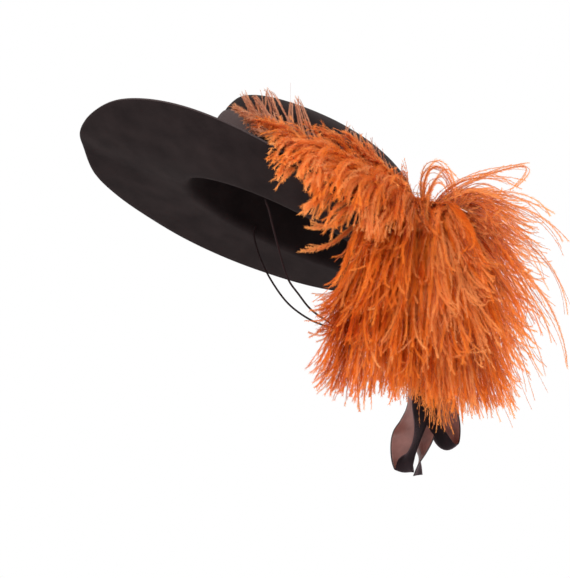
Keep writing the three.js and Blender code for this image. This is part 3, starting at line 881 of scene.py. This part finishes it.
# Heart is the middle of a plume's mass, which its barbs face away from. Bare is where its own quill starts
# to show, from 0 at the tip.
Plume = namedtuple("Plume", "quill heart bare finish")
PLUMES = {
    "side_plume": Plume(side_line, (40, 40, 20), 0.04, shaft_finish),
    "near_plume": Plume(
        [(104, 78, 26), (82, 100, 32), (46, 126, 26), (2, 142, 11)], (50, 120, -80), 0.3, quill_and_glint_finish
    ),
    "back_plume_left": Plume(
        [(42, 206, -4), (35, 184, 14), (18, 164, 20), (-4, 145, 11)], (0, 160, -80), 0.3, quill_and_glint_finish
    ),
    "back_plume_right": Plume(
        [(-40, 204, 2), (-36, 180, 18), (-29, 162, 22), (-14, 144, 12)], (-10, 160, -80), 0.3, quill_and_glint_finish
    ),
}
QUILL_RADIUS = 1.3
QUILL_THIN_END = 0.3
QUILL_STEPS = 29
for plume_name, plume in PLUMES.items():
    places = [plume.bare + (1 - plume.bare) * i / QUILL_STEPS for i in range(QUILL_STEPS + 1)]
    shown = [curve_point(vectors(plume.quill), place) * MM for place in places]
    quill_name = plume_name + "_quill"
    quill_data = round_line(quill_name, shown, QUILL_RADIUS * MM, roundness=2, thin_end=QUILL_THIN_END)
    put(quill_name, quill_data, [], "plume", plume.finish)
print("quills", len(PLUMES))

# %% [markdown]
# Each row is a Fan. Start and stop are places along the quill, from 0 at its tip to 1 at the knot. Tips is
# the line along which the fan's locks end. Lift is how far a barb arches above its start, hang how far it
# falls to its end, and sweep how much of the way out it still has to go when it starts to fall. Barbs is
# how many a lock has, and spread how far they stray. Shade is how light the fan is, and it is painted
# shade: fans deep in a plume, under other fans and in the near plume get a low shade for the shade that
# falls on them.
# %% Where the barbs lie
FANS = {
    ("side_plume", "spikes", SPIKY): [
        (0.05, 0.22, ((84, -46, 115), (86, -39, 112)), 4, -8, 0.3, 3, 4, 2, 0.75),
        (0.08, 0.3, ((66, -35, 129), (70, -32, 124)), 4, -10, 0.25, 3, 4, 2, 0.65),
        (0.12, 0.34, ((60, -24, 126), (64, -20, 122)), 4, -12, 0.25, 3, 4, 2, 0.65),
        (0.14, 0.38, ((56, -13, 129), (56, -8, 130)), 4, -12, 0.25, 4, 4, 2, 0.7),
        (0.22, 0.42, ((56, 11, 120), (56, 21, 123)), 4, -12, 0.2, 5, 4, 2, 0.7),
        (0.05, 0.3, ((92, -37, 107), (84, -16, 108), (76, 6, 103)), 4, -6, 0.35, 8, 4, 3, 0.6),
        (0.02, 0.2, ((100, -34, 99), (112, -25, 87), (124, -13, 80)), 4, 2, 0.35, 6, 4, 3, 0.65),
        (0.45, 0.75, ((58, 66, 98), (56, 82, 87), (54, 98, 71)), 6, -10, 0.25, 8, 3, 3, 0.6),
        (0.75, 0.97, ((50, 102, 63), (44, 118, 52), (36, 130, 39)), 8, -8, 0.25, 6, 3, 3, 0.6),
    ],
    ("side_plume", "pale_barbs", PALE): [
        (0.1, 0.3, ((92, -45, 113), (98, -38, 107), (104, -31, 99)), 3, 0, 0.45, 8, 5, 1.5, 0.45),
        (0.14, 0.36, ((98, -33, 103), (108, -23, 91), (118, -13, 83)), 4, 0, 0.45, 9, 5, 2, 0.3),
    ],
    ("side_plume", "barbs", FULL): [
        (0.18, 0.42, ((104, -25, 95), (92, -12, 98), (84, 9, 96)), 8, 0, 0.45, 8, 5, 2.5, 0.7),
        (0.36, 0.52, ((153, -9, 58), (153, -4, 53)), 24, 20, 0.32, 2, 6, 1.5, 0.7),
        (0.42, 0.58, ((154, -2, 41), (154, 4, 38)), 24, 32, 0.26, 2, 6, 1.5, 0.7),
        (0.55, 0.72, ((154, 23, 11), (154, 29, 9)), 14, 24, 0.25, 2, 6, 1.5, 0.7),
        (0.28, 0.52, ((150, -7, 73), (153, 6, 63), (154, 18, 52)), 24, 16, 0.26, 10, 5, 2, 0.6),
        (0.45, 0.68, ((154, 20, 48), (154, 28, 32), (152, 39, 17)), 26, 34, 0.18, 10, 5, 2.5, 0.55),
        (0.3, 0.68, ((126, -11, 84), (140, 19, 68), (146, 49, 43)), 20, 10, 0.36, 16, 5, 3, 0.65),
        (0.5, 0.85, ((150, 32, 49), (150, 56, 26), (142, 77, 13)), 24, 34, 0.2, 13, 5, 3.5, 0.5),
        (0.48, 0.88, ((104, 21, 82), (108, 46, 70), (104, 75, 55)), 12, 4, 0.45, 12, 5, 3, 0.65),
        (0.45, 0.8, ((78, 27, 97), (80, 46, 87), (72, 64, 87)), 8, 0, 0.4, 8, 5, 2.5, 0.6),
        (0.65, 0.9, ((150, 38, 21), (146, 45, 0), (140, 58, -9)), 16, 34, 0.16, 5, 4, 2.5, 0.5),
        (0.66, 0.7, ((148, 28, -5), (148, 31, -7)), 12, -4, 0.55, 1, 6, 1.2, 0.75),
        (0.72, 0.76, ((144, 23, -22), (144, 25, -24)), 12, -4, 0.5, 1, 6, 1.5, 0.75),
        (0.65, 0.95, ((140, 70, 8), (136, 85, -11), (128, 98, -17)), 18, 54, 0.12, 11, 5, 3, 0.65),
        (0.6, 0.98, ((100, 71, 53), (98, 94, 36), (88, 115, 19)), 16, 18, 0.3, 12, 5, 4, 0.6),
        (0.78, 1.0, ((120, 89, 22), (112, 109, 1), (104, 122, -12)), 22, 34, 0.18, 11, 5, 4, 0.55),
        (0.62, 0.95, ((72, 66, 82), (72, 85, 70), (70, 105, 51)), 10, 0, 0.38, 11, 5, 3, 0.6),
        (0.78, 1.0, ((60, 103, 53), (56, 117, 38), (50, 129, 24)), 14, 4, 0.28, 9, 4, 3.5, 0.6),
        (0.84, 1.0, ((62, 132, 0), (58, 144, -7), (52, 156, -13)), 24, 16, 0.3, 11, 5, 4, 0.45),
        (0.8, 0.96, ((44, 119, 51), (42, 126, 57)), 12, -10, 0.25, 2, 5, 1.5, 0.6),
    ],
    # The near plume lies in shade, so its fans have a low shade: painted shade.
    ("near_plume", "long_barbs", FINE): [
        (0.55, 0.92, ((118, 46, -71), (120, 40, -90), (122, 46, -117)), -10, 12, 0.4, 15, 5, 4, 0.14),
        (0.55, 0.95, ((122, 38, -134), (122, 44, -152), (120, 57, -160)), -6, 34, 0.3, 15, 5, 5, 0.14),
        (0.6, 1.0, ((120, 59, -157), (116, 89, -160), (108, 128, -159)), 2, 66, 0.2, 30, 5, 6, 0.16),
        (0.5, 0.95, ((90, 69, -112), (80, 108, -151), (64, 142, -155)), 2, 80, 0.15, 14, 4, 8, 0.1),
    ],
    ("near_plume", "short_barbs", FINE): [
        (0.55, 0.95, ((128, 57, -109), (128, 85, -121), (120, 118, -119)), 6, 40, 0.25, 18, 4, 7, 0.16),
        (0.5, 0.92, ((126, 55, -73), (128, 76, -85), (124, 112, -83)), 4, 26, 0.3, 16, 4, 7, 0.16),
        (0.45, 0.9, ((122, 63, -37), (124, 87, -54), (116, 118, -52)), 8, 20, 0.3, 14, 4, 6, 0.22),
        (0.7, 1.0, ((122, 83, -144), (118, 108, -148), (110, 135, -144)), 4, 50, 0.2, 14, 4, 6, 0.24),
        (0.55, 0.95, ((116, 70, -24), (116, 93, -28), (106, 118, -28)), 8, 14, 0.3, 10, 4, 5, 0.24),
        (0.55, 0.95, ((130, 57, -79), (131, 79, -119), (124, 118, -142)), 14, 14, 0.42, 18, 1, 11, 0.6),
    ],
    ("back_plume_left", "long_barbs", FINE): [
        (0.8, 1.0, ((96, 119, -152), (92, 146, -166), (84, 177, -176)), -2, 70, 0.22, 26, 5, 6, 0.4),
        (0.7, 1.0, ((82, 178, -177), (72, 207, -176), (64, 229, -165)), -2, 56, 0.32, 20, 5, 6, 0.4),
        (0.6, 0.95, ((62, 230, -148), (56, 238, -113), (50, 245, -78)), 0, 34, 0.34, 14, 5, 6, 0.45),
        (0.55, 0.98, ((30, 120, -143), (20, 180, -157), (12, 226, -134)), 0, 80, 0.2, 14, 4, 9, 0.1),
    ],
    ("back_plume_left", "short_barbs", FINE): [
        (0.82, 1.0, ((84, 114, -43), (86, 141, -58), (82, 168, -50)), 2, 16, 0.3, 12, 4, 6, 0.5),
        (0.72, 1.0, ((100, 121, -83), (100, 155, -95), (90, 189, -79)), 2, 26, 0.3, 18, 4, 7, 0.62),
        (0.68, 1.0, ((104, 126, -121), (100, 165, -129), (84, 206, -110)), 2, 40, 0.28, 20, 4, 7, 0.57),
        (0.6, 0.98, ((66, 179, -21), (66, 204, -41), (74, 211, -77)), 6, 14, 0.34, 14, 4, 6, 0.6),
        (0.4, 0.95, ((42, 206, 1), (40, 236, -23), (42, 249, -60)), 6, 14, 0.34, 14, 4, 6, 0.6),
        (0.55, 0.98, ((40, 171, 11), (36, 195, 3), (34, 219, -7)), 8, 4, 0.34, 10, 4, 5, 0.65),
        (0.7, 1.0, ((114, 118, -92), (114, 154, -131), (98, 203, -123)), 16, 16, 0.44, 22, 1, 12, 0.8),
    ],
    ("back_plume_left", "loose_barbs", LOOSE): [
        (0.3, 0.8, ((30, 209, 25), (32, 235, 13), (34, 254, -7)), 28, 6, 0.32, 11, 2, 5, 0.85),
        (0.35, 0.9, ((26, 219, 13), (26, 257, -10), (30, 264, -44)), 10, 10, 0.3, 10, 2, 5, 0.85),
        (0.3, 0.9, ((36, 254, -54), (40, 261, -91), (44, 257, -117)), 12, 30, 0.2, 9, 2, 6, 0.85),
        (0.5, 0.95, ((46, 261, -129), (50, 254, -162), (56, 238, -179)), 10, 40, 0.25, 7, 1, 6, 0.85),
        (0.75, 1.0, ((84, 152, -176), (76, 186, -182), (64, 231, -179)), 0, 60, 0.22, 14, 4, 6, 0.7),
        (0.75, 1.0, ((60, 148, -169), (50, 188, -177), (40, 232, -174)), 0, 60, 0.22, 14, 4, 6, 0.7),
        (0.75, 1.0, ((60, 136, -181), (62, 156, -192), (60, 179, -189)), 0, 60, 0.22, 9, 4, 4, 0.75),
        (0.4, 0.95, ((26, 160, -103), (14, 181, -139), (2, 191, -160)), 2, 50, 0.25, 12, 4, 7, 0.55),
        (0.35, 0.9, ((22, 194, -74), (12, 207, -110), (4, 215, -124)), 6, 34, 0.25, 12, 4, 7, 0.6),
        (0.9, 1.0, ((22, 132, 31), (14, 141, 38), (8, 153, 40)), 16, -6, 0.2, 5, 2, 3, 0.8),
        (0.84, 1.0, ((40, 130, 24), (34, 144, 25), (30, 166, 23)), 16, -2, 0.2, 15, 4, 3, 0.55),
    ],
    ("back_plume_right", "long_barbs", FINE): [
        (0.7, 1.0, ((-84, 124, -155), (-80, 156, -165), (-76, 189, -171)), -2, 70, 0.2, 20, 4, 7, 0.4),
        (0.7, 1.0, ((-74, 189, -171), (-66, 219, -169), (-60, 237, -156)), -2, 56, 0.3, 14, 4, 7, 0.4),
        (0.6, 0.95, ((-58, 239, -146), (-54, 247, -105), (-50, 249, -64)), 0, 34, 0.34, 12, 4, 7, 0.45),
        (0.55, 0.98, ((-20, 121, -145), (-18, 177, -155), (-14, 223, -126)), 0, 80, 0.2, 12, 4, 9, 0.15),
    ],
    ("back_plume_right", "short_barbs", FINE): [
        (0.7, 1.0, ((-90, 126, -74), (-88, 167, -89), (-80, 202, -74)), 2, 26, 0.3, 16, 4, 8, 0.55),
        (0.66, 1.0, ((-96, 130, -122), (-92, 176, -128), (-78, 218, -107)), 2, 40, 0.28, 16, 4, 8, 0.5),
        (0.55, 0.98, ((-60, 172, -4), (-60, 204, -21), (-66, 221, -64)), 6, 14, 0.34, 14, 4, 7, 0.6),
        (0.4, 0.95, ((-42, 207, 5), (-42, 240, -19), (-42, 252, -54)), 6, 14, 0.34, 12, 4, 7, 0.6),
    ],
    ("back_plume_right", "loose_barbs", LOOSE): [
        (0.3, 0.8, ((-34, 217, 31), (-36, 245, 21), (-38, 266, 1)), 30, 6, 0.32, 15, 2, 6, 0.85),
        (0.4, 0.95, ((-30, 164, -104), (-20, 183, -141), (-8, 192, -158)), 2, 50, 0.25, 12, 4, 7, 0.55),
        (0.35, 0.9, ((-26, 198, -70), (-16, 209, -104), (-8, 216, -120)), 6, 34, 0.25, 12, 4, 7, 0.6),
        (0.35, 0.9, ((-30, 220, 17), (-30, 261, -7), (-34, 273, -50)), 10, 10, 0.3, 10, 2, 6, 0.85),
        (0.35, 0.95, ((-38, 266, -64), (-42, 272, -105), (-50, 263, -164)), 10, 34, 0.25, 10, 1, 7, 0.85),
    ],
}

# %% [markdown]
# A few long barbs stand apart from the mass: an arch over the knot, thin arcs above the plumes and past
# their edge, and one bare shaft straight up over the crown. Each row is a Wisp: a start on the quill and
# three more points of its curve, with a count and a spread for its neighbours.
# %% Wisps
Wisp = namedtuple("Wisp", "start rise fall tip count spread")
WISP_ROOT_SHIFT = 0.03
WISP_SHADE = 0.9
WISPS = {
    ("back_plume_left", "wisps", AIRY): [
        (0.96, (8, 134, 76), (22, 180, 77), (26, 177, -3), 9, 6),
        (0.9, (22, 172, 49), (28, 211, 57), (30, 245, 61), 3, 3),
        (0.9, (12, 191, 54), (16, 282, 79), (20, 232, 39), 3, 3),
        (0.9, (30, 168, 49), (34, 209, 52), (34, 234, 41), 6, 5),
        (0.85, (10, 189, 38), (12, 242, 38), (14, 271, 12), 4, 4),
        (0.85, (24, 202, 35), (26, 261, 21), (28, 284, -20), 4, 4),
        (0.8, (0, 214, 24), (4, 283, -24), (6, 288, -84), 3, 4),
        (0.8, (36, 175, 33), (36, 193, 41), (38, 216, 31), 4, 4),
        (0.75, (40, 248, -36), (42, 279, -93), (44, 277, -138), 3, 5),
        (0.97, (4, 149, 46), (10, 161, 60), (14, 171, 36), 6, 5),
    ],
    ("side_plume", "bare_shaft", BARE): [
        (0.27, (74, 12, 101), (56, 12, 118), (52, 12, 139), 1, 0),
    ],
}


def wisp_barbs(wisp, quill, rng):
    """The curves and shades of a wisp and its neighbours."""
    curves = []
    for _ in range(wisp.count):
        shift = rng.uniform(-WISP_ROOT_SHIFT, WISP_ROOT_SHIFT)
        root = np.array(curve_point(quill, min(wisp.start + shift, 1)))
        points = (wisp.rise, wisp.fall, wisp.tip)
        curves.append((root, *(np.array(point) + rng.normal(0, wisp.spread, 3) for point in points)))
    return np.array(curves), np.full(wisp.count, WISP_SHADE)


# %% [markdown]
# Each plume's barbs go into a few pieces, so that none grows too heavy to edit. A piece's generator is
# seeded with its own name, so a change to one piece leaves the others as they are.
# %% Plumes
for kind, rows, barbs in ((Fan, FANS, fan_barbs), (Wisp, WISPS, wisp_barbs)):
    for (plume_name, part, look), groups in rows.items():
        plume = PLUMES[plume_name]
        piece_name = plume_name + "_" + part
        rng = np.random.default_rng(list(piece_name.encode()))
        parts = []
        for group in groups:
            curves, shades = barbs(kind(*group), vectors(plume.quill), rng)
            parts.append(barb_arrays(curves, shades, look, plume.heart, rng))
        put(piece_name, barb_mesh(piece_name, parts), [plume_name], "plume", look.finish, shaft_finish)

# %% [markdown]
# A pale floor well below the hat, an even pale surround and two large soft lights: one high in front on the
# hat's left, and a weaker one behind to light the edges of the plumes.
# %% Floor and light
floor_finish = Finish("pale_floor", Roughness=0.8)
floor_finish.paint(floor_finish.noise(3.0), [(0.3, (0.78, 0.78, 0.78)), (0.7, (0.82, 0.82, 0.82))])
FLOOR_RADIUS = 1.6
FLOOR_UP = -0.55
bm = bmesh.new()
bmesh.ops.create_circle(bm, cap_ends=True, segments=96, radius=FLOOR_RADIUS)
bmesh.ops.translate(bm, verts=bm.verts, vec=(0, 0, FLOOR_UP))
floor = add_object("studio_floor", mesh_of(bm, "studio_floor", smooth=False))
floor.data.materials.append(floor_finish.material)
floor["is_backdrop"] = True

world = bpy.data.worlds.new("pale_surround")
world.use_nodes = True
background = world.node_tree.nodes["Background"].inputs
background["Color"].default_value = (1, 1, 1, 1)
background["Strength"].default_value = 1.0
bpy.context.scene.world = world
bpy.context.scene.view_settings.view_transform = "Standard"


def soft_light(name, place, target, size, watts):
    data = bpy.data.lights.new(name, "AREA")
    data.shape = "DISK"
    data.size = size
    data.energy = watts
    light = add_object(name, data)
    light.location = place
    light.rotation_euler = (Vector(target) - Vector(place)).to_track_quat("-Z", "Y").to_euler()


soft_light("front_light", (1.9, -1.0, 1.5), (0, 0.05, -0.05), 0.9, 50)
soft_light("back_light", (-1.2, 1.5, 1.0), (0, 0.15, -0.05), 1.2, 20)

# %% [markdown]
# Last, the sizes: how far the dressed hat's box stands out past the CAD box on each side is printed.
# %% Sizes
visual_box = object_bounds()
for axis, low, high, cad_low, cad_high in zip("XYZ", *visual_box, *cad_box):
    print(axis, "stands out", round((cad_low - low) / MM, 1), round((high - cad_high) / MM, 1), "mm")
